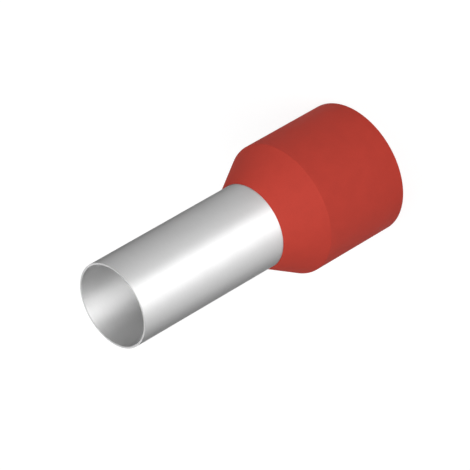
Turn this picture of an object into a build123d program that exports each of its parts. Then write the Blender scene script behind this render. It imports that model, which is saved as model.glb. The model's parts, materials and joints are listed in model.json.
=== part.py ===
from build123d import *
import os
from math import cos, radians, sin, tan

# An insulated wire-end ferrule for a 35 square millimetre conductor: a thin tinned copper sleeve
# with a red moulded collar round its rear end. Sizes are in millimetres. It stands on the
# collar's open mouth at z = 0, and its axis is +Z, towards the sleeve's tip.
total_length = 32.0
sleeve_reach = 18.0        # bare sleeve, from the collar's front edge to the tip

# The sleeve is seamless drawn tube, belled out at its rear end inside the collar.
sleeve_bore = 8.3          # diameter
sleeve_wall = 0.2
bell_share = 0.45          # how much of the collar's funnel the belled end lines
tip_round = 0.04           # edge break of the cut tip

# The collar has one wall thickness: a cylinder, a shoulder cone and a short neck on the sleeve.
# Inside, the cone is the funnel that guides the strands into the sleeve.
collar_bore = 12.7         # diameter
collar_wall = 0.4
shoulder_angle = 30.0      # degrees, between the cone and the axis
front_edge = 0.05          # thickness of the collar's edge on the sleeve
shoulder_round = 0.15      # edge between the cylinder and the shoulder
funnel_round = 0.5         # corner between the funnel and the collar's bore
neck_round = 1.2           # inner edge of the neck, which the sleeve bells round
mouth_round = 0.1          # both edges of the mouth

seat_clearance = 0.02      # between the sleeve and the collar, wherever they seat

sleeve_radius = sleeve_bore / 2 + sleeve_wall
neck_radius = sleeve_radius + seat_clearance
front_radius = neck_radius + front_edge
bore_radius = collar_bore / 2
collar_radius = bore_radius + collar_wall
slope = radians(shoulder_angle)

# The funnel's cone lies one wall thickness inside the shoulder's.
front_z = total_length - sleeve_reach
shoulder_z = front_z - (collar_radius - front_radius) / tan(slope)
funnel_top_z = front_z - collar_wall / sin(slope) + front_edge / tan(slope)
funnel_foot_z = funnel_top_z - (bore_radius - neck_radius) / tan(slope)


def metal_sleeve():
    """The tube's wall, traced along its middle line and turned about the axis."""
    middle_radius = (sleeve_bore + sleeve_wall) / 2
    middle_depth = seat_clearance + sleeve_wall / 2
    bend_z = funnel_top_z - middle_depth * tan(slope / 2)
    bell_length = bell_share * (bore_radius - neck_radius) / sin(slope)
    middle_line = FilletPolyline(
        (middle_radius, total_length),
        (middle_radius, bend_z),
        (middle_radius + bell_length * sin(slope), bend_z - bell_length * cos(slope)),
        radius=neck_round + middle_depth,
    )
    sleeve = revolve(Plane.XZ * trace(middle_line, sleeve_wall), Axis.Z)
    tip_edges = sleeve.edges().group_by(Axis.Z)[-1]
    return fillet(tip_edges, tip_round)


def insulating_collar():
    """The collar's section, from the mouth's inner edge round to the funnel's foot, turned about the axis."""
    corners = [
        (bore_radius, 0, mouth_round),
        (collar_radius, 0, mouth_round),
        (collar_radius, shoulder_z, shoulder_round),
        (front_radius, front_z, 0),
        (neck_radius, front_z, 0),
        (neck_radius, funnel_top_z, neck_round),
        (bore_radius, funnel_foot_z, funnel_round),
    ]
    outline = FilletPolyline(
        *[(radius, height) for radius, height, _ in corners],
        radius=[rounding for _, _, rounding in corners],
        close=True,
    )
    return revolve(Plane.XZ * make_face(outline), Axis.Z)


pieces = {
    "metal_sleeve": metal_sleeve(),
    "insulating_collar": insulating_collar(),
}

os.makedirs("parts", exist_ok=True)
for name, piece in pieces.items():
    export_step(piece, f"parts/{name}.step")
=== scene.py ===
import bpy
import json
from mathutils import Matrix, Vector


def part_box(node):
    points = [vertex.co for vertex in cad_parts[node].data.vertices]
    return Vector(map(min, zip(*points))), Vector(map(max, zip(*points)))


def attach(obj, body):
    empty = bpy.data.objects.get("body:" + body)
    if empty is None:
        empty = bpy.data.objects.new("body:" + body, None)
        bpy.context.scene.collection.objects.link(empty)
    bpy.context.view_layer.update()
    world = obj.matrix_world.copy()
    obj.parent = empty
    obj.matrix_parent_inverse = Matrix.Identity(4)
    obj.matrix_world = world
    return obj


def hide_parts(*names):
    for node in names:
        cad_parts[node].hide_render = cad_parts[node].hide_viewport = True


bl_info = {
    "name": "Insulated wire ferrule",
    "version": (1, 0, 0),
    "blender": (4, 5, 0),
    "location": "View3D > Sidebar > Ferrule",
    "description": "Dresses an insulated wire-end ferrule: tinned sleeve, moulded collar and pale stage",
    "category": "Object",
}

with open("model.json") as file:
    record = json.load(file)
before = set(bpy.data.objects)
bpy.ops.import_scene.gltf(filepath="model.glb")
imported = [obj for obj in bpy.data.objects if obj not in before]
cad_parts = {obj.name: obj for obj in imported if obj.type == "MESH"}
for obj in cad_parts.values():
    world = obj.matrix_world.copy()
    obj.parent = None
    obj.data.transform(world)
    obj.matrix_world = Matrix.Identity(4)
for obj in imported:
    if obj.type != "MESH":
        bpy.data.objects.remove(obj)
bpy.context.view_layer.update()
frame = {"record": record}

import json
from math import atan2, cos, pi, radians, sin, tan

import bmesh
import bpy
from bpy.props import FloatProperty, FloatVectorProperty, PointerProperty
from mathutils import Matrix, Vector

MM = 0.001

# Two points this near each other are the same one.
NEAR = 0.0001 * MM

# Steps round the axis. The collar is the wider piece, so it has more of them.
SLEEVE_STEPS = 192
COLLAR_STEPS = 256

# A rounded edge has about one face for each such turn, and at least three.
ROUND_STEP = radians(8.0)

# Nearly all of a noise lies in this range, so it is the range that the finishes use.
NOISE_LOW = 0.3
NOISE_HIGH = 0.7

# The camera's sensor, in millimetres, as its lens is.
SENSOR_WIDTH = 36.0

# The floor. Light bounces off it at one reflectance and the camera sees another, under a glow that
# makes it white. The glow is weaker at the ferrule, where the shadow falls, than farther out.
FLOOR_RADIUS = 2.0
FLOOR_SIDES = 96
FLOOR_BOUNCE = 0.6
FLOOR_SEEN = 0.28
GLOW_AT_FERRULE = 0.8
GLOW_START = 70.0 * MM
GLOW_FULL = 220.0 * MM

# What metal reflects: the grey of the surroundings at each way round from the camera's, in degrees.
FLOOR_GREYS = (
    (-150, 0.2), (-120, 0.5), (-90, 0.9), (-10, 1.0), (30, 0.75), (80, 0.95), (115, 0.7), (140, 0.15),
)
WALL_GREYS = ((-110, 0.1), (-60, 0.95), (-20, 0.85), (40, 0.95), (80, 0.2), (120, 0.1))

# Overhead metal reflects one dark grey, which comes in as the upward part of the direction goes from
# start to full.
OVERHEAD_GREY = 0.25
OVERHEAD_START = 0.85
OVERHEAD_FULL = 0.97

mounts = {mount["name"]: mount for mount in frame["record"]["mounts"]}
sleeve_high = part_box("metal_sleeve")[1]
collar_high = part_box("insulating_collar")[1]


def mount_radius(name):
    """A round mount's radius in metres."""
    return mounts[name]["dims"]["r_mm"] * MM


class SleeveSettings(bpy.types.PropertyGroup):
    outer_radius: FloatProperty(
        name="Outer radius",
        description="Outside radius of the bare sleeve",
        default=mount_radius("terminal_pin"),
        unit="LENGTH",
        precision=5,
    )
    bore_radius: FloatProperty(
        name="Bore radius",
        description="Inside radius of the sleeve",
        default=mount_radius("conductor_bore"),
        unit="LENGTH",
        precision=5,
    )
    tip_height: FloatProperty(
        name="Tip height",
        description="Height of the cut tip above the mouth",
        default=sleeve_high.z,
        unit="LENGTH",
        precision=5,
    )
    bell_radius: FloatProperty(
        name="Bell radius",
        description="Outside radius of the belled rear end",
        default=sleeve_high.x,
        unit="LENGTH",
        precision=5,
    )
    tip_round: FloatProperty(
        name="Tip round",
        description="Edge break of the cut tip",
        default=0.04 * MM,
        unit="LENGTH",
        precision=5,
    )
    tint: FloatVectorProperty(
        name="Tin colour",
        description="Colour of the tin plating",
        subtype="COLOR",
        size=3,
        min=0.0,
        max=1.0,
        default=(0.86, 0.86, 0.86),
    )
    metallic: FloatProperty(
        name="Metallic",
        description="Share of the plating that shines as bare metal; the rest is the matt bloom of tin",
        default=0.95,
        min=0.0,
        max=1.0,
        subtype="FACTOR",
    )
    cut_metallic: FloatProperty(
        name="Cut face metallic",
        description="The same share on the cut face of the tip, which the shears left matt",
        default=0.25,
        min=0.0,
        max=1.0,
        subtype="FACTOR",
    )
    # The cut face's tone is painted shade: it darkens the up-facing rim, which the lamps light more than
    # the sides.
    cut_face_painted_shade: FloatProperty(
        name="Cut face shade",
        description="Tone of the cut face of the tip, as a share of the plating's",
        default=0.75,
        min=0.0,
        max=1.0,
        subtype="FACTOR",
    )
    roughness: FloatProperty(
        name="Roughness",
        description="Mean roughness of the plating on the outside",
        default=0.58,
        min=0.0,
        max=1.0,
        subtype="FACTOR",
    )
    bore_dullness: FloatProperty(
        name="Bore dullness",
        description="How much rougher the bore is than the outside",
        default=0.12,
        min=0.0,
        max=1.0,
        subtype="FACTOR",
    )
    satin: FloatProperty(
        name="Satin",
        description="How far the lustre is drawn out along the sleeve, as by a finish brushed round it",
        default=0.9,
        min=0.0,
        max=1.0,
        subtype="FACTOR",
    )
    line_depth: FloatProperty(
        name="Line depth",
        description="Depth of the very fine brushed lines round the sleeve",
        default=0.0006 * MM,
        unit="LENGTH",
        precision=7,
    )
    gloss_change: FloatProperty(
        name="Gloss change",
        description="How far the fine lines and the bloom each move the roughness",
        default=0.02,
        min=0.0,
    )
    tone_change: FloatProperty(
        name="Tone change",
        description="How far the fine lines and the bloom each move the colour, as a share of it",
        default=0.015,
        min=0.0,
    )


class CollarSettings(bpy.types.PropertyGroup):
    bore_radius: FloatProperty(
        name="Bore radius",
        description="Inside radius of the collar's wide part",
        default=mount_radius("insulation_bore"),
        unit="LENGTH",
        precision=5,
    )
    outer_radius: FloatProperty(
        name="Outer radius",
        description="Outside radius of the collar's wide part",
        default=collar_high.x,
        unit="LENGTH",
        precision=5,
    )
    front_height: FloatProperty(
        name="Front height",
        description="Height of the collar's front edge above the mouth",
        default=collar_high.z,
        unit="LENGTH",
        precision=5,
    )
    shoulder_angle: FloatProperty(
        name="Shoulder angle",
        description="Angle between the shoulder's cone and the axis",
        default=radians(30.0),
        subtype="ANGLE",
        unit="ROTATION",
    )
    seat_clearance: FloatProperty(
        name="Seat clearance",
        description="Gap between the sleeve and the collar",
        default=0.02 * MM,
        unit="LENGTH",
        precision=5,
    )
    front_edge: FloatProperty(
        name="Front edge",
        description="Thickness of the collar's edge on the sleeve",
        default=0.05 * MM,
        unit="LENGTH",
        precision=5,
    )
    neck_round: FloatProperty(
        name="Neck round",
        description="Radius of the neck's inner edge, which the sleeve bells round",
        default=1.2 * MM,
        unit="LENGTH",
        precision=5,
    )
    shoulder_round: FloatProperty(
        name="Shoulder round",
        description="Radius of the edge between the cylinder and the shoulder",
        default=0.15 * MM,
        unit="LENGTH",
        precision=5,
    )
    funnel_round: FloatProperty(
        name="Funnel round",
        description="Radius of the corner between the funnel and the bore",
        default=0.5 * MM,
        unit="LENGTH",
        precision=5,
    )
    mouth_round: FloatProperty(
        name="Mouth round",
        description="Radius of both edges of the mouth",
        default=0.1 * MM,
        unit="LENGTH",
        precision=5,
    )
    tint: FloatVectorProperty(
        name="Plastic colour",
        description="Colour of the moulded plastic",
        subtype="COLOR",
        size=3,
        min=0.0,
        max=1.0,
        default=(0.515, 0.055, 0.038),
    )
    roughness: FloatProperty(
        name="Roughness",
        description="Mean roughness of the moulded surface",
        default=0.65,
        min=0.0,
        max=1.0,
        subtype="FACTOR",
    )
    texture_depth: FloatProperty(
        name="Texture depth",
        description="Depth of the fine matt texture that the mould left",
        default=0.0015 * MM,
        unit="LENGTH",
        precision=7,
    )
    shine: FloatProperty(
        name="Shine",
        description="Strength of the reflection off the surface, low on this dull plastic",
        default=0.06,
        min=0.0,
        max=1.0,
        subtype="FACTOR",
    )
    gloss_change: FloatProperty(
        name="Gloss change",
        description="How far the fine texture and the broad patches each move the roughness",
        default=0.04,
        min=0.0,
    )
    fine_tone_change: FloatProperty(
        name="Fine tone change",
        description="How far the fine texture moves the colour, as a share of it",
        default=0.03,
        min=0.0,
    )
    broad_tone_change: FloatProperty(
        name="Broad tone change",
        description="How far the broad patches move the colour, as a share of it",
        default=0.025,
        min=0.0,
    )


class StageSettings(bpy.types.PropertyGroup):
    camera_bearing: FloatProperty(
        name="Camera bearing",
        description="Way round the ferrule that the camera stands",
        default=radians(45.0),
        subtype="ANGLE",
        unit="ROTATION",
    )
    camera_elevation: FloatProperty(
        name="Camera elevation",
        description="Height of the camera's line of sight above the floor",
        default=radians(35.264),
        subtype="ANGLE",
        unit="ROTATION",
    )
    camera_roll: FloatProperty(
        name="Camera roll",
        description="Turn of the picture, so that the upright sleeve points to its lower left",
        default=radians(120.0),
        subtype="ANGLE",
        unit="ROTATION",
    )
    camera_distance: FloatProperty(
        name="Camera distance",
        description="Depth of the sleeve's tip in front of the camera",
        default=358.1 * MM,
        unit="LENGTH",
    )
    tip_offset: FloatVectorProperty(
        name="Tip offset",
        description="Place of the sleeve's tip right of and above the camera's line of sight",
        size=2,
        default=(-11.277 * MM, -6.516 * MM),
        subtype="XYZ",
        unit="LENGTH",
    )
    lens: FloatProperty(
        name="Lens",
        description="Focal length of the camera in millimetres, on a sensor 36 mm wide",
        default=298.5,
    )
    ambient: FloatProperty(
        name="Ambient",
        description="Mean strength of the world's light",
        default=0.315,
        min=0.0,
    )
    ambient_slope: FloatProperty(
        name="Ambient slope",
        description="How much stronger the world's light is than its mean on the brighter side",
        default=0.215,
        min=0.0,
    )
    bright_side: FloatProperty(
        name="Bright side",
        description="Way round the ferrule from the camera to the brighter side of the world",
        default=radians(90.0),
        subtype="ANGLE",
        unit="ROTATION",
    )
    key_power: FloatProperty(
        name="Key power",
        description="Power of the large soft lamp above the camera's line of sight",
        default=1.52,
        unit="POWER",
    )
    low_power: FloatProperty(
        name="Low power",
        description="Power of the soft lamp below the camera's line of sight",
        default=0.53,
        unit="POWER",
    )
    fill_power: FloatProperty(
        name="Fill power",
        description="Power of the soft lamp behind the ferrule",
        default=0.85,
        unit="POWER",
    )
    key_bearing: FloatProperty(
        name="Key bearing",
        description="Way round the ferrule from the camera to the key lamp",
        default=radians(-20.0),
        subtype="ANGLE",
        unit="ROTATION",
    )
    low_bearing: FloatProperty(
        name="Low bearing",
        description="Way round the ferrule from the camera to the low lamp",
        default=radians(-5.0),
        subtype="ANGLE",
        unit="ROTATION",
    )
    key_elevation: FloatProperty(
        name="Key elevation",
        description="Height of the key lamp, as an angle above the floor",
        default=radians(52.0),
        subtype="ANGLE",
        unit="ROTATION",
    )
    low_elevation: FloatProperty(
        name="Low elevation",
        description="Height of the low lamp, as an angle above the floor",
        default=radians(16.0),
        subtype="ANGLE",
        unit="ROTATION",
    )
    fill_elevation: FloatProperty(
        name="Fill elevation",
        description="Height of the fill lamp, as an angle above the floor",
        default=radians(25.0),
        subtype="ANGLE",
        unit="ROTATION",
    )
    lamp_distance: FloatProperty(
        name="Lamp distance",
        description="Distance of every lamp from the middle of the ferrule",
        default=0.5,
        unit="LENGTH",
    )
    front_lamp_size: FloatVectorProperty(
        name="Front lamp size",
        description="Width and height of the key lamp and of the low lamp",
        size=2,
        default=(0.42, 0.3),
        subtype="XYZ",
        unit="LENGTH",
    )
    fill_lamp_size: FloatVectorProperty(
        name="Fill lamp size",
        description="Width and height of the fill lamp",
        size=2,
        default=(0.3, 0.3),
        subtype="XYZ",
        unit="LENGTH",
    )


def link(obj):
    """Puts a new object into the scene."""
    bpy.context.scene.collection.objects.link(obj)
    return obj


def turned(name, corners, steps):
    """A closed section turned about Z: each corner is (radius, height, rounding radius)."""
    bm = bmesh.new()
    verts = [bm.verts.new((radius, 0.0, height)) for radius, height, _ in corners]
    edges = [bm.edges.new((verts[index - 1], verts[index])) for index in range(len(verts))]
    bmesh.ops.spin(
        bm,
        geom=verts + edges,
        cent=(0.0, 0.0, 0.0),
        axis=(0.0, 0.0, 1.0),
        dvec=(0.0, 0.0, 0.0),
        angle=2.0 * pi,
        steps=steps,
        use_merge=True,
        use_duplicate=False,
    )
    bmesh.ops.recalc_face_normals(bm, faces=bm.faces)
    for index, (radius, height, rounding) in enumerate(corners):
        if rounding > 0.0:
            before = Vector(corners[index - 1][:2]) - Vector((radius, height))
            after = Vector(corners[(index + 1) % len(corners)][:2]) - Vector((radius, height))
            turn = pi - before.angle(after)
            round_ring(bm, radius, height, rounding * tan(turn / 2.0), turn)
    wrap_map(bm)
    mesh = bpy.data.meshes.new(name)
    bm.to_mesh(mesh)
    bm.free()
    mesh.shade_smooth()
    obj = link(bpy.data.objects.new(name, mesh))
    weighted = obj.modifiers.new("Weighted normals", "WEIGHTED_NORMAL")
    weighted.weight = 100
    return obj


def round_ring(bm, radius, height, offset, turn):
    """Rounds the ring of edges at this radius and height; the arc starts this offset away on each side."""
    ring = [
        edge
        for edge in bm.edges
        if all(
            abs(Vector(vert.co.xy).length - radius) < NEAR and abs(vert.co.z - height) < NEAR
            for vert in edge.verts
        )
    ]
    bmesh.ops.bevel(
        bm,
        geom=ring,
        offset=offset,
        offset_type="OFFSET",
        segments=max(3, round(turn / ROUND_STEP)),
        profile=0.5,
        affect="EDGES",
        material=-1,
        clamp_overlap=False,
    )


def wrap_map(bm):
    """A UV map named OFBake: U runs round the axis, as the brushed lines do, and V along the section."""
    # The section's points in order, with their lengths along it. They start at the lowest and go
    # outwards first, so that the map is the same each time whatever order Blender holds them in.
    half = [vert for vert in bm.verts if abs(vert.co.y) < NEAR < vert.co.x]
    foot = min(vert.co.z for vert in half) + NEAR
    beside = [vert for vert in half if vert.co.z < foot]
    section = []
    while beside:
        section.append(max(beside, key=lambda vert: vert.co.x))
        linked = [edge.other_vert(section[-1]) for edge in section[-1].link_edges]
        beside = [vert for vert in linked if vert in half and vert not in section]
    places = [Vector((vert.co.x, vert.co.z)) for vert in section]
    lengths = [0.0]
    for index, place in enumerate(places):
        lengths.append(lengths[-1] + (places[(index + 1) % len(places)] - place).length)

    # Each point of the piece lies on the ring of one point of the section.
    rings = {}
    for vert in bm.verts:
        place = Vector((vert.co.xy.length, vert.co.z))
        rings[vert] = min(range(len(places)), key=lambda index: (places[index] - place).length_squared)

    # Where a face closes the circle or the section, the start counts as the end.
    layer = bm.loops.layers.uv.new("OFBake")
    margin = 0.004
    inside = 1.0 - 2.0 * margin
    for face in bm.faces:
        turns = [round(atan2(vert.co.y, vert.co.x) / (2.0 * pi), 6) % 1.0 for vert in face.verts]
        closing = any(rings[vert] == len(places) - 1 for vert in face.verts)
        for loop, turn in zip(face.loops, turns):
            if max(turns) - turn > 0.5:
                turn += 1.0
            ring = rings[loop.vert]
            if ring == 0 and closing:
                ring = len(places)
            along = lengths[ring] / lengths[-1]
            loop[layer].uv = (margin + inside * turn, margin + inside * along)


class FERRULE_OT_sleeve(bpy.types.Operator):
    """Makes the tinned sleeve: a straight drawn tube with a cut tip and a belled rear end"""

    bl_idname = "ferrule.sleeve"
    bl_label = "Tinned sleeve"

    def execute(self, context):
        sleeve = context.scene.ferrule_sleeve
        collar = context.scene.ferrule_collar
        slope = collar.shoulder_angle
        wall = sleeve.outer_radius - sleeve.bore_radius
        collar_wall = collar.outer_radius - collar.bore_radius
        funnel_top = collar.front_height - collar_wall / sin(slope) + collar.front_edge / tan(slope)
        outer_bend = funnel_top - collar.seat_clearance * tan(slope / 2)
        inner_bend = outer_bend - wall * tan(slope / 2)
        run = (sleeve.bell_radius - sleeve.outer_radius) / sin(slope)
        outer_end = outer_bend - run * cos(slope)
        corners = [
            (sleeve.bore_radius, sleeve.tip_height, sleeve.tip_round),
            (sleeve.outer_radius, sleeve.tip_height, sleeve.tip_round),
            (sleeve.outer_radius, outer_bend, collar.neck_round + collar.seat_clearance),
            (sleeve.bell_radius, outer_end, sleeve.tip_round),
            (
                sleeve.bell_radius - wall * cos(slope),
                outer_end - wall * sin(slope),
                sleeve.tip_round,
            ),
            (sleeve.bore_radius, inner_bend, collar.neck_round + collar.seat_clearance + wall),
        ]
        obj = turned("tinned_sleeve", corners, SLEEVE_STEPS)
        obj.data.materials.append(tinned_copper(sleeve))
        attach(obj, "root")
        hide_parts("metal_sleeve")
        return {"FINISHED"}


class FERRULE_OT_collar(bpy.types.Operator):
    """Makes the moulded collar: a cylinder, a shoulder cone and a neck, with a funnel inside"""

    bl_idname = "ferrule.collar"
    bl_label = "Moulded collar"

    def execute(self, context):
        sleeve = context.scene.ferrule_sleeve
        collar = context.scene.ferrule_collar
        slope = collar.shoulder_angle
        wall = collar.outer_radius - collar.bore_radius
        neck_radius = sleeve.outer_radius + collar.seat_clearance
        front_radius = neck_radius + collar.front_edge
        shoulder = collar.front_height - (collar.outer_radius - front_radius) / tan(slope)
        funnel_top = collar.front_height - wall / sin(slope) + collar.front_edge / tan(slope)
        funnel_foot = funnel_top - (collar.bore_radius - neck_radius) / tan(slope)
        corners = [
            (collar.bore_radius, 0.0, collar.mouth_round),
            (collar.outer_radius, 0.0, collar.mouth_round),
            (collar.outer_radius, shoulder, collar.shoulder_round),
            (front_radius, collar.front_height, 0.0),
            (neck_radius, collar.front_height, 0.0),
            (neck_radius, funnel_top, collar.neck_round),
            (collar.bore_radius, funnel_foot, collar.funnel_round),
        ]
        obj = turned("moulded_collar", corners, COLLAR_STEPS)
        obj.data.materials.append(red_plastic(collar))
        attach(obj, "root")
        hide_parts("insulating_collar")
        return {"FINISHED"}


def new_material(name):
    """A material that holds one Principled shader, with its node tree."""
    material = bpy.data.materials.new(name)
    material.use_nodes = True
    tree = material.node_tree
    tree.nodes.clear()
    shader = tree.nodes.new("ShaderNodeBsdfPrincipled")
    output = tree.nodes.new("ShaderNodeOutputMaterial")
    tree.links.new(shader.outputs["BSDF"], output.inputs["Surface"])
    return material, tree, shader


def surface_grain():
    """The node group of both finishes: a fine noise, drawn out by Stretch, and a broad one."""
    group = bpy.data.node_groups.get("surface_grain")
    if group:
        return group
    group = bpy.data.node_groups.new("surface_grain", "ShaderNodeTree")
    sockets = group.interface
    stretch = sockets.new_socket("Stretch", in_out="INPUT", socket_type="NodeSocketVector")
    stretch.default_value = (1.0, 1.0, 1.0)
    sockets.new_socket("Fine scale", in_out="INPUT", socket_type="NodeSocketFloat")
    sockets.new_socket("Broad scale", in_out="INPUT", socket_type="NodeSocketFloat")
    sockets.new_socket("Fine", in_out="OUTPUT", socket_type="NodeSocketFloat")
    sockets.new_socket("Broad", in_out="OUTPUT", socket_type="NodeSocketFloat")
    nodes = group.nodes
    links = group.links
    given = nodes.new("NodeGroupInput")
    result = nodes.new("NodeGroupOutput")
    place = nodes.new("ShaderNodeTexCoord")
    drawn_out = nodes.new("ShaderNodeVectorMath")
    drawn_out.operation = "MULTIPLY"
    fine = nodes.new("ShaderNodeTexNoise")
    fine.inputs["Detail"].default_value = 3.0
    fine.inputs["Roughness"].default_value = 0.6
    broad = nodes.new("ShaderNodeTexNoise")
    broad.inputs["Detail"].default_value = 2.0
    links.new(place.outputs["Object"], drawn_out.inputs[0])
    links.new(given.outputs["Stretch"], drawn_out.inputs[1])
    links.new(drawn_out.outputs["Vector"], fine.inputs["Vector"])
    links.new(given.outputs["Fine scale"], fine.inputs["Scale"])
    links.new(place.outputs["Object"], broad.inputs["Vector"])
    links.new(given.outputs["Broad scale"], broad.inputs["Scale"])
    links.new(fine.outputs["Fac"], result.inputs["Fine"])
    links.new(broad.outputs["Fac"], result.inputs["Broad"])
    return group


def place_grain(tree, stretch, fine_scale, broad_scale):
    """The surface grain in a material, with this material's own values."""
    grain = tree.nodes.new("ShaderNodeGroup")
    grain.node_tree = surface_grain()
    grain.inputs["Stretch"].default_value = stretch
    grain.inputs["Fine scale"].default_value = fine_scale
    grain.inputs["Broad scale"].default_value = broad_scale
    return grain


def spread(tree, source, low, high, start, end):
    """Goes from low to high as the source goes from start to end, and stays level outside them."""
    node = tree.nodes.new("ShaderNodeMapRange")
    node.inputs["From Min"].default_value = start
    node.inputs["From Max"].default_value = end
    node.inputs["To Min"].default_value = low
    node.inputs["To Max"].default_value = high
    tree.links.new(source, node.inputs["Value"])
    return node.outputs["Result"]


def vary(tree, noise, middle, change):
    """A value that the noise moves up and down from the middle by at most the change."""
    return spread(tree, noise, middle - change, middle + change, NOISE_LOW, NOISE_HIGH)


def combine(tree, operation, first, second):
    """One value from two, by the Math node's operation."""
    node = tree.nodes.new("ShaderNodeMath")
    node.operation = operation
    tree.links.new(first, node.inputs[0])
    tree.links.new(second, node.inputs[1])
    return node.outputs["Value"]


def axis_distance(tree, place):
    """How far a place on Object coordinates lies from the ferrule's axis."""
    flat = tree.nodes.new("ShaderNodeVectorMath")
    flat.operation = "MULTIPLY"
    flat.inputs[1].default_value = (1.0, 1.0, 0.0)
    tree.links.new(place, flat.inputs[0])
    length = tree.nodes.new("ShaderNodeVectorMath")
    length.operation = "LENGTH"
    tree.links.new(flat.outputs["Vector"], length.inputs[0])
    return length.outputs["Value"]


def upward(tree, place):
    """The height of a place, or the upward part of a direction."""
    parts = tree.nodes.new("ShaderNodeSeparateXYZ")
    tree.links.new(place, parts.inputs["Vector"])
    return parts.outputs["Z"]


def shade(tree, tint, factor):
    """The tint made lighter or darker by a factor that varies over the surface."""
    node = tree.nodes.new("ShaderNodeVectorMath")
    node.operation = "SCALE"
    node.inputs[0].default_value = tint
    tree.links.new(factor, node.inputs["Scale"])
    return node.outputs["Vector"]


def raise_bump(tree, height, depth, shader):
    """Gives the shader's surface a bump of this depth."""
    bump = tree.nodes.new("ShaderNodeBump")
    bump.inputs["Strength"].default_value = 1.0
    bump.inputs["Distance"].default_value = depth
    tree.links.new(height, bump.inputs["Height"])
    tree.links.new(bump.outputs["Normal"], shader.inputs["Normal"])


def tinned_copper(sleeve):
    """Satin tin: very fine lines round the sleeve, a soft bloom, a duller bore, and a matt cut face
    darkened by painted shade.
    """
    material, tree, shader = new_material("tinned_copper")
    quarter_turn = 0.25
    shader.inputs["Anisotropic"].default_value = sleeve.satin
    shader.inputs["Anisotropic Rotation"].default_value = quarter_turn
    drawn_round = (0.12, 0.12, 1.0)
    lines_per_metre = 14000.0
    bloom_per_metre = 450.0
    grain = place_grain(tree, drawn_round, lines_per_metre, bloom_per_metre)
    lines = grain.outputs["Fine"]
    bloom = grain.outputs["Broad"]
    place = tree.nodes.new("ShaderNodeTexCoord").outputs["Object"]

    # The bore's roughness gives way to the outside's in the middle of the wall.
    wall_middle = (sleeve.bore_radius + sleeve.outer_radius) / 2.0
    half_width = 0.04 * MM
    bore_roughness = sleeve.roughness + sleeve.bore_dullness
    dull = spread(
        tree,
        axis_distance(tree, place),
        bore_roughness,
        sleeve.roughness,
        wall_middle - half_width,
        wall_middle + half_width,
    )
    line_gloss = vary(tree, lines, 0.0, sleeve.gloss_change)
    bloom_gloss = vary(tree, bloom, 0.0, sleeve.gloss_change)
    gloss = combine(tree, "ADD", line_gloss, bloom_gloss)
    tree.links.new(combine(tree, "ADD", gloss, dull), shader.inputs["Roughness"])

    # The cut face's look comes in over this share of its rounded edges.
    edge_share = 0.7
    cut_start = sleeve.tip_height - sleeve.tip_round
    cut_full = cut_start + edge_share * sleeve.tip_round
    height = upward(tree, place)
    metallic = spread(tree, height, sleeve.metallic, sleeve.cut_metallic, cut_start, cut_full)
    tree.links.new(metallic, shader.inputs["Metallic"])
    # Painted shade: the cut face's colour is lowered, so that the up-facing rim, which the lamps light,
    # reads darker.
    painted_cut_shade = spread(tree, height, 1.0, sleeve.cut_face_painted_shade, cut_start, cut_full)
    line_tone = vary(tree, lines, 1.0, sleeve.tone_change)
    bloom_tone = vary(tree, bloom, 1.0, sleeve.tone_change)
    tone = combine(tree, "MULTIPLY", line_tone, bloom_tone)
    colour = shade(tree, sleeve.tint, combine(tree, "MULTIPLY", tone, painted_cut_shade))
    tree.links.new(colour, shader.inputs["Base Color"])
    raise_bump(tree, lines, sleeve.line_depth, shader)
    return material


def red_plastic(collar):
    """Moulded plastic: a fine matt texture, with a faint unevenness in colour and gloss."""
    material, tree, shader = new_material("red_plastic")
    shader.inputs["Specular IOR Level"].default_value = collar.shine
    even = (1.0, 1.0, 1.0)
    pits_per_metre = 9000.0
    patches_per_metre = 700.0
    grain = place_grain(tree, even, pits_per_metre, patches_per_metre)
    pits = grain.outputs["Fine"]
    patches = grain.outputs["Broad"]
    fine_gloss = vary(tree, pits, 0.0, collar.gloss_change)
    broad_gloss = vary(tree, patches, collar.roughness, collar.gloss_change)
    tree.links.new(combine(tree, "ADD", fine_gloss, broad_gloss), shader.inputs["Roughness"])
    fine_tone = vary(tree, pits, 1.0, collar.fine_tone_change)
    broad_tone = vary(tree, patches, 1.0, collar.broad_tone_change)
    colour = shade(tree, collar.tint, combine(tree, "MULTIPLY", fine_tone, broad_tone))
    tree.links.new(colour, shader.inputs["Base Color"])
    raise_bump(tree, pits, collar.texture_depth, shader)
    return material


def camera_turn(stage):
    """The camera's rotation: towards the axis from its bearing and elevation, then rolled."""
    base = Matrix.Rotation(stage.camera_bearing, 3, "Z") @ Matrix.Rotation(
        pi / 2.0 - stage.camera_elevation, 3, "X"
    )
    return base @ Matrix.Rotation(-stage.camera_roll, 3, "Z")


def make_camera(stage, tip_height):
    """A camera that sees the sleeve's tip at its distance and at its place in the picture."""
    turn = camera_turn(stage)
    data = bpy.data.cameras.new("Camera")
    data.sensor_width = SENSOR_WIDTH
    data.lens = stage.lens
    data.clip_start = 10.0 * MM
    data.clip_end = 100.0
    camera = link(bpy.data.objects.new("Camera", data))
    tip_in_view = Vector((stage.tip_offset[0], stage.tip_offset[1], -stage.camera_distance))
    place = Vector((0.0, 0.0, tip_height)) - turn @ tip_in_view
    camera.matrix_world = Matrix.Translation(place) @ turn.to_4x4()
    bpy.context.scene.camera = camera


def soft_lamp(name, bearing, elevation, distance, size, power, aim):
    """An area lamp, size (width, height), that faces the aim from this bearing and elevation."""
    data = bpy.data.lights.new(name, "AREA")
    data.shape = "RECTANGLE"
    data.size, data.size_y = size
    data.energy = power
    lamp = link(bpy.data.objects.new(name, data))
    turn = Matrix.Rotation(bearing, 3, "Z") @ Matrix.Rotation(pi / 2.0 - elevation, 3, "X")
    place = aim + turn @ Vector((0.0, 0.0, distance))
    lamp.matrix_world = Matrix.Translation(place) @ turn.to_4x4()


def grey(level):
    """A neutral colour of this level."""
    return (level, level, level, 1.0)


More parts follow.
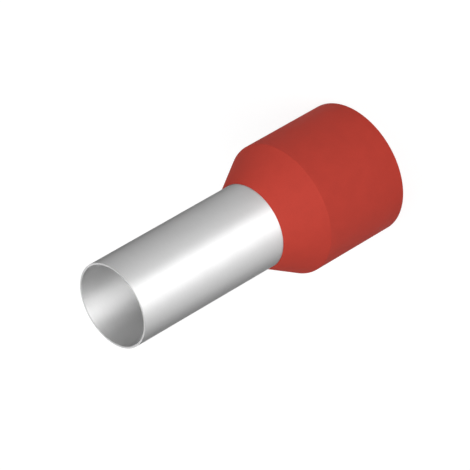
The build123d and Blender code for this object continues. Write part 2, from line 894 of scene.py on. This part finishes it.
def surroundings(tree, direction, bearing, greys):
    """The grey that metal reflects from each side; greys pairs degrees from the bearing with a level."""
    turn = tree.nodes.new("ShaderNodeMapping")
    turn.inputs["Rotation"].default_value = (0.0, 0.0, pi / 2.0 - bearing)
    tree.links.new(direction, turn.inputs["Vector"])
    way = tree.nodes.new("ShaderNodeTexGradient")
    way.gradient_type = "RADIAL"
    tree.links.new(turn.outputs["Vector"], way.inputs["Vector"])
    ramp = tree.nodes.new("ShaderNodeValToRGB")
    ramp.color_ramp.interpolation = "EASE"
    stops = ramp.color_ramp.elements
    while len(stops) < len(greys):
        stops.new(0.5)
    for stop, (degrees, level) in zip(stops, greys):
        stop.position = 0.5 + degrees / 360.0
        stop.color = grey(level)
    tree.links.new(way.outputs["Fac"], ramp.inputs["Fac"])
    return ramp.outputs["Color"]


def mix_colours(tree, factor, first, second):
    """A colour that goes from the first to the second; either is a socket or a plain colour."""
    mix = tree.nodes.new("ShaderNodeMix")
    mix.data_type = "RGBA"
    tree.links.new(factor, mix.inputs["Factor"])
    for socket, colour in ((mix.inputs["A"], first), (mix.inputs["B"], second)):
        if isinstance(colour, bpy.types.NodeSocket):
            tree.links.new(colour, socket)
        else:
            socket.default_value = colour
    return mix.outputs["Result"]


def mix_shaders(tree, factor, first, second):
    """A shader that goes from the first to the second."""
    mix = tree.nodes.new("ShaderNodeMixShader")
    tree.links.new(factor, mix.inputs[0])
    tree.links.new(first, mix.inputs[1])
    tree.links.new(second, mix.inputs[2])
    return mix.outputs["Shader"]


def reflected(tree, path):
    """1 for what metal and glass show, otherwise 0."""
    return combine(tree, "MAXIMUM", path.outputs["Is Glossy Ray"], path.outputs["Is Transmission Ray"])


def pale_floor(stage):
    """The floor's material: white to the camera but for shadows, and the floor's greys to metal."""
    material = bpy.data.materials.new("pale_floor")
    material.use_nodes = True
    tree = material.node_tree
    nodes = tree.nodes
    nodes.clear()
    output = nodes.new("ShaderNodeOutputMaterial")
    path = nodes.new("ShaderNodeLightPath")
    to_camera = path.outputs["Is Camera Ray"]
    place = nodes.new("ShaderNodeTexCoord").outputs["Object"]

    board = nodes.new("ShaderNodeBsdfDiffuse")
    tone = mix_colours(tree, to_camera, grey(FLOOR_BOUNCE), grey(FLOOR_SEEN))
    tree.links.new(tone, board.inputs["Color"])
    glow = nodes.new("ShaderNodeEmission")
    strength = spread(tree, axis_distance(tree, place), GLOW_AT_FERRULE, 1.0, GLOW_START, GLOW_FULL)
    tree.links.new(combine(tree, "MULTIPLY", to_camera, strength), glow.inputs["Strength"])
    plain = nodes.new("ShaderNodeAddShader")
    tree.links.new(board.outputs["BSDF"], plain.inputs[0])
    tree.links.new(glow.outputs["Emission"], plain.inputs[1])

    mirrored = nodes.new("ShaderNodeEmission")
    greys = surroundings(tree, place, stage.camera_bearing, FLOOR_GREYS)
    tree.links.new(greys, mirrored.inputs["Color"])
    surface = mix_shaders(
        tree, reflected(tree, path), plain.outputs["Shader"], mirrored.outputs["Emission"]
    )
    tree.links.new(surface, output.inputs["Surface"])
    return material


def make_floor(stage):
    """A round pale floor under the ferrule."""
    bm = bmesh.new()
    bmesh.ops.create_circle(bm, cap_ends=True, radius=FLOOR_RADIUS, segments=FLOOR_SIDES)
    mesh = bpy.data.meshes.new("floor")
    bm.to_mesh(mesh)
    bm.free()
    floor = link(bpy.data.objects.new("floor", mesh))
    floor.data.materials.append(pale_floor(stage))


def make_world(stage):
    """The world: light that is stronger on one side, white to the camera, and the walls' greys to metal."""
    world = bpy.data.worlds.new("Studio")
    bpy.context.scene.world = world
    world.use_nodes = True
    tree = world.node_tree
    nodes = tree.nodes
    nodes.clear()
    output = nodes.new("ShaderNodeOutputWorld")
    path = nodes.new("ShaderNodeLightPath")
    direction = nodes.new("ShaderNodeTexCoord").outputs["Generated"]

    side = nodes.new("ShaderNodeVectorMath")
    side.operation = "DOT_PRODUCT"
    bearing = stage.camera_bearing + stage.bright_side
    side.inputs[1].default_value = (sin(bearing), -cos(bearing), 0.0)
    tree.links.new(direction, side.inputs[0])
    light = nodes.new("ShaderNodeBackground")
    light.inputs["Color"].default_value = grey(1.0)
    weakest = stage.ambient - stage.ambient_slope
    strongest = stage.ambient + stage.ambient_slope
    level = spread(tree, side.outputs["Value"], weakest, strongest, -1.0, 1.0)
    tree.links.new(level, light.inputs["Strength"])
    white = nodes.new("ShaderNodeBackground")
    white.inputs["Color"].default_value = grey(1.0)
    white.inputs["Strength"].default_value = 1.0

    walls = surroundings(tree, direction, stage.camera_bearing, WALL_GREYS)
    overhead = spread(tree, upward(tree, direction), 0.0, 1.0, OVERHEAD_START, OVERHEAD_FULL)
    mirrored = nodes.new("ShaderNodeBackground")
    greys = mix_colours(tree, overhead, walls, grey(OVERHEAD_GREY))
    tree.links.new(greys, mirrored.inputs["Color"])

    plain = mix_shaders(
        tree, path.outputs["Is Camera Ray"], light.outputs["Background"], white.outputs["Background"]
    )
    surface = mix_shaders(tree, reflected(tree, path), plain, mirrored.outputs["Background"])
    tree.links.new(surface, output.inputs["Surface"])


class FERRULE_OT_stage(bpy.types.Operator):
    """Makes the floor, the lamps, the world and the camera"""

    bl_idname = "ferrule.stage"
    bl_label = "Stage"

    def execute(self, context):
        stage = context.scene.ferrule_stage
        tip_height = context.scene.ferrule_sleeve.tip_height
        context.scene.view_settings.view_transform = "Standard"
        make_floor(stage)
        make_world(stage)
        aim = Vector((0.0, 0.0, tip_height / 2.0))
        front = stage.front_lamp_size
        lamps = (
            ("Key lamp", stage.key_bearing, stage.key_elevation, front, stage.key_power),
            ("Low lamp", stage.low_bearing, stage.low_elevation, front, stage.low_power),
            ("Fill lamp", pi, stage.fill_elevation, stage.fill_lamp_size, stage.fill_power),
        )
        for name, way, elevation, size, power in lamps:
            bearing = stage.camera_bearing + way
            soft_lamp(name, bearing, elevation, stage.lamp_distance, size, power, aim)
        make_camera(stage, tip_height)
        return {"FINISHED"}


class FERRULE_PT_panel(bpy.types.Panel):
    """Lists the ferrule's operators"""

    bl_idname = "FERRULE_PT_panel"
    bl_label = "Wire ferrule"
    bl_space_type = "VIEW_3D"
    bl_region_type = "UI"
    bl_category = "Ferrule"

    def draw(self, context):
        for operator in PIECES:
            self.layout.operator(operator.bl_idname)


PIECES = (FERRULE_OT_sleeve, FERRULE_OT_collar, FERRULE_OT_stage)
SETTINGS = {
    "ferrule_sleeve": SleeveSettings,
    "ferrule_collar": CollarSettings,
    "ferrule_stage": StageSettings,
}


def register():
    for kind in (*SETTINGS.values(), *PIECES, FERRULE_PT_panel):
        bpy.utils.register_class(kind)
    for name, kind in SETTINGS.items():
        setattr(bpy.types.Scene, name, PointerProperty(type=kind))


def unregister():
    for name in SETTINGS:
        delattr(bpy.types.Scene, name)
    for kind in reversed((*SETTINGS.values(), *PIECES, FERRULE_PT_panel)):
        bpy.utils.unregister_class(kind)


def main():
    register()
    bpy.ops.ferrule.sleeve()
    bpy.ops.ferrule.collar()
    bpy.ops.ferrule.stage()


if __name__ == "__main__":
    main()
